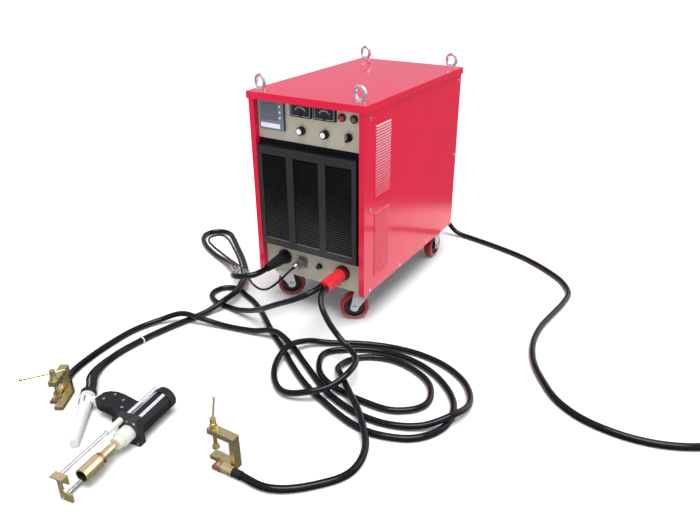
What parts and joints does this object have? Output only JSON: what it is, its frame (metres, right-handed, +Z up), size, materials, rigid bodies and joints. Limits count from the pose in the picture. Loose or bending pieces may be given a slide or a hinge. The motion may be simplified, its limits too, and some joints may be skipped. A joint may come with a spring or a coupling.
{
  "type": "stud welder",
  "caption": "Wheeled arc stud welding set: red cabinet with controls, grille and sockets, a pistol stud gun, screw earth clamps and their cables.",
  "frame": {"origin": "on the floor, under the centre of the cabinet", "axes": "+X to the right seen from the front, +Y to the rear, +Z up; the front faces -Y"},
  "size_m": [2.1919, 1.9233, 0.8152],
  "materials": {
    "red_paint": "gloss",
    "beige_paint": "satin",
    "grey_paint": "satin",
    "black_paint": "satin",
    "black_plastic": "satin",
    "blue_plastic": "satin",
    "red_plastic": "gloss",
    "chrome": "polished",
    "zinc": "satin",
    "brass": "satin",
    "copper": "satin",
    "white_plastic": "matte",
    "red_polyurethane": "satin",
    "core_steel": "matte",
    "winding_copper": "gloss",
    "aluminium": "satin",
    "circuit_board": "satin",
    "black_rubber": "matte"
  },
  "bodies": {
    "welder": {"left_side_panel": "red_paint", "right_side_panel": "red_paint", "top_cover": "red_paint", "rear_panel": "red_paint", "control_panel": "beige_paint", "socket_panel": "beige_paint", "base_frame": "grey_paint", "front_grille": "black_paint", "grille_louvres": "black_paint", "fan_frame": "black_paint", "gun_front_block": "black_paint", "panel_meters": "black_plastic", "lamp_bezels": "black_plastic", "panel_sockets": "black_plastic", "gun_plug": "black_plastic", "fuse_holder": "black_plastic", "gun_barrel": "black_plastic", "gun_grip": "black_plastic", "digital_controller": "blue_plastic", "lamp_lenses": "red_plastic", "earth_plug": "red_plastic", "mains_fittings": "red_plastic", "lifting_eyes": "chrome", "control_plug": "chrome", "fasteners": "zinc", "control_pots": "zinc", "caster_mounts": "zinc", "earth_stud": "brass", "clamp_frames": "brass", "clamp_lugs": "copper", "gun_insulator": "white_plastic", "cable_boot": "white_plastic", "transformer_core": "core_steel", "transformer_windings": "winding_copper", "output_choke": "winding_copper", "rectifier_stack": "aluminium", "control_board": "circuit_board", "gun_cable": "black_rubber", "control_cable": "black_rubber", "right_earth_cable": "black_rubber", "left_earth_cable": "black_rubber", "mains_cable": "black_rubber"},
    "front_left_swivel": {"front_left_fork": "zinc"},
    "front_right_swivel": {"front_right_fork": "zinc"},
    "front_left_roller": {"front_left_wheel": "red_polyurethane"},
    "front_right_roller": {"front_right_wheel": "red_polyurethane"},
    "rear_left_roller": {"rear_left_wheel": "red_polyurethane"},
    "rear_right_roller": {"rear_right_wheel": "red_polyurethane"},
    "fan": {"fan_rotor": "black_plastic"},
    "current_dial": {"current_knob": "black_plastic"},
    "time_dial": {"time_knob": "black_plastic"},
    "selector": {"selector_knob": "black_plastic"},
    "trigger": {"gun_trigger": "black_plastic"},
    "spindle": {"gun_chuck": "brass"},
    "support_legs": {"gun_legs": "chrome", "gun_foot": "brass"},
    "right_pressure_pad": {"right_clamp_pad": "brass"},
    "right_screw": {"right_clamp_screw": "zinc"},
    "left_pressure_pad": {"left_clamp_pad": "brass"},
    "left_screw": {"left_clamp_screw": "zinc"}
  },
  "joints": [
    {"name": "front_left_swivel_turn", "type": "hinge", "parent": "welder", "child": "front_left_swivel", "pos_m": [-0.168, -0.29, 0.11], "axis": [0, 0, 1], "continuous": true},
    {"name": "front_right_swivel_turn", "type": "hinge", "parent": "welder", "child": "front_right_swivel", "pos_m": [0.168, -0.29, 0.11], "axis": [0, 0, 1], "continuous": true},
    {"name": "front_left_roll", "type": "hinge", "parent": "front_left_swivel", "child": "front_left_roller", "pos_m": [-0.14564, -0.27315, 0.05], "axis": [-0.6018, 0.7986, 0], "continuous": true},
    {"name": "front_right_roll", "type": "hinge", "parent": "front_right_swivel", "child": "front_right_roller", "pos_m": [0.14375, -0.304, 0.05], "axis": [-0.5, 0.866, 0], "continuous": true},
    {"name": "rear_left_roll", "type": "hinge", "parent": "welder", "child": "rear_left_roller", "pos_m": [-0.168, 0.29, 0.05], "axis": [1, 0, 0], "continuous": true},
    {"name": "rear_right_roll", "type": "hinge", "parent": "welder", "child": "rear_right_roller", "pos_m": [0.168, 0.29, 0.05], "axis": [1, 0, 0], "continuous": true},
    {"name": "fan_spin", "type": "hinge", "parent": "welder", "child": "fan", "pos_m": [0.04, 0.33, 0.508], "axis": [0, 1, 0], "continuous": true},
    {"name": "current_knob_turn", "type": "hinge", "parent": "welder", "child": "current_dial", "pos_m": [-0.022, -0.355, 0.654], "axis": [0, 1, 0], "range_deg": [-150, 150]},
    {"name": "time_knob_turn", "type": "hinge", "parent": "welder", "child": "time_dial", "pos_m": [0.066, -0.355, 0.654], "axis": [0, 1, 0], "range_deg": [-150, 150]},
    {"name": "selector_turn", "type": "hinge", "parent": "welder", "child": "selector", "pos_m": [0.15, -0.355, 0.656], "axis": [0, 1, 0], "range_deg": [-45, 45]},
    {"name": "trigger_pull", "type": "slide", "parent": "welder", "child": "trigger", "axis": [-0.1392, 0.9903, 0], "range_m": [0, 0.004], "stiffness_N_per_m": 600},
    {"name": "spindle_lift", "type": "slide", "parent": "welder", "child": "spindle", "axis": [-0.1392, 0.9903, 0], "range_m": [0, 0.01], "stiffness_N_per_m": 900},
    {"name": "leg_slide", "type": "slide", "parent": "welder", "child": "support_legs", "axis": [0.1392, -0.9903, 0], "range_m": [-0.025, 0.02]},
    {"name": "right_pad_slide", "type": "slide", "parent": "welder", "child": "right_pressure_pad", "axis": [0, 0, 1], "range_m": [-0.0051, 0.0301]},
    {"name": "right_screw_turn", "type": "hinge", "parent": "right_pressure_pad", "child": "right_screw", "pos_m": [0.191, -1.078, 0.1], "axis": [0, 0, 1], "range_deg": [-1200, 7200]},
    {"name": "left_pad_slide", "type": "slide", "parent": "welder", "child": "left_pressure_pad", "axis": [0, 0, 1], "range_m": [-0.0051, 0.0301]},
    {"name": "left_screw_turn", "type": "hinge", "parent": "left_pressure_pad", "child": "left_screw", "pos_m": [-0.3265, -1.15349, 0.1], "axis": [0, 0, 1], "range_deg": [-1200, 7200]}
  ],
  "couplings": [
    {"joint": "right_pad_slide", "follows": "right_screw_turn", "m_per_rad": 0.00023873},
    {"joint": "left_pad_slide", "follows": "left_screw_turn", "m_per_rad": 0.00023873}
  ]
}
